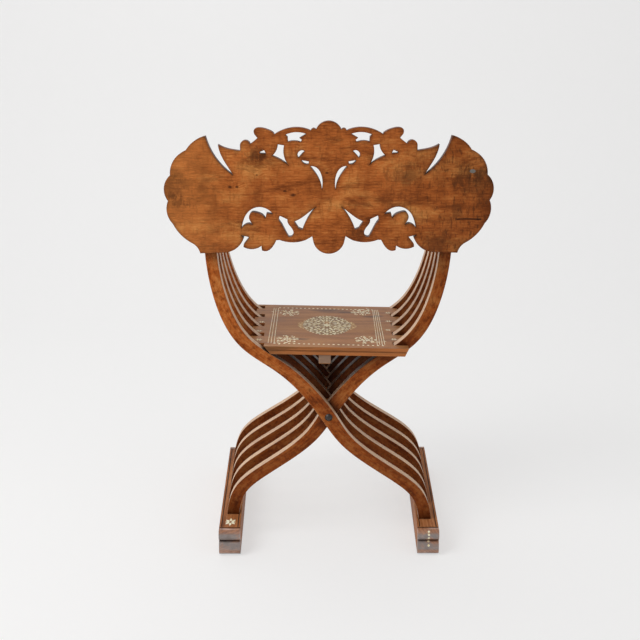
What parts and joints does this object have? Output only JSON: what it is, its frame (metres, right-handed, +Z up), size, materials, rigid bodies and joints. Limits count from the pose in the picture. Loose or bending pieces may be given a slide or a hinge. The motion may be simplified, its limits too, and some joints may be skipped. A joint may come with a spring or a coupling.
{
  "type": "folding armchair",
  "caption": "Folding X-frame armchair of interleaved S-curved wooden slats, with a notched seat that swings up and a pierced, scalloped back that lifts off.",
  "frame": {"origin": "on the floor, under the middle of the rails", "axes": "+Z up, +Y to the sitter's front, +X to the right as seen from behind the back"},
  "size_m": [0.644, 0.476, 0.908],
  "materials": {
    "slat_wood": "oiled, worn paler on the edges",
    "rail_wood": "dark, worn grey on the noses",
    "arm_wood": "oiled, polished by hands",
    "peg_wood": "dark",
    "ring_wood": "dark",
    "dark_steel": "dark, satin",
    "seat_wood": "waxed, with bone inlay",
    "batten_wood": "plain",
    "board_wood": "waxed",
    "key_wood": "plain"
  },
  "bodies": {
    "frame_a": {"slat_a1": "slat_wood", "slat_a2": "slat_wood", "slat_a3": "slat_wood", "slat_a4": "slat_wood", "slat_a5": "slat_wood", "rail_right": "rail_wood", "arm_left": "arm_wood", "tenon_pegs_a": "peg_wood", "pivot_rod": "dark_steel", "pivot_washer": "dark_steel", "pivot_nut": "dark_steel", "spacer_rings": "ring_wood", "seat_hinge_rod": "dark_steel"},
    "frame_b": {"slat_b1": "slat_wood", "slat_b2": "slat_wood", "slat_b3": "slat_wood", "slat_b4": "slat_wood", "slat_b5": "slat_wood", "rail_left": "rail_wood", "arm_right": "arm_wood", "tenon_pegs_b": "peg_wood", "seat_rest_rod": "dark_steel"},
    "seat": {"seat_plank_rear": "seat_wood", "seat_plank_front": "seat_wood", "seat_batten": "batten_wood", "batten_screws": "dark_steel"},
    "backrest": {"back_board": "board_wood", "back_key_left": "key_wood", "back_key_right": "key_wood", "back_key_screws": "dark_steel"}
  },
  "joints": [
    {"name": "frame_fold", "type": "hinge", "parent": "frame_a", "child": "frame_b", "pos_m": [0, 0, 0.292], "axis": [0, -1, 0], "range_deg": [0, 40]},
    {"name": "seat_swing", "type": "hinge", "parent": "frame_a", "child": "seat", "pos_m": [-0.16012, 0, 0.44453], "axis": [0, -1, 0], "range_deg": [0, 90.5]},
    {"name": "backrest_lift", "type": "slide", "parent": "frame_a", "child": "backrest", "axis": [0, 0, 1], "range_m": [0, 0.06]}
  ],
  "couplings": [
    {"joint": "seat_swing", "follows": "frame_fold", "ratio": 2.25}
  ]
}
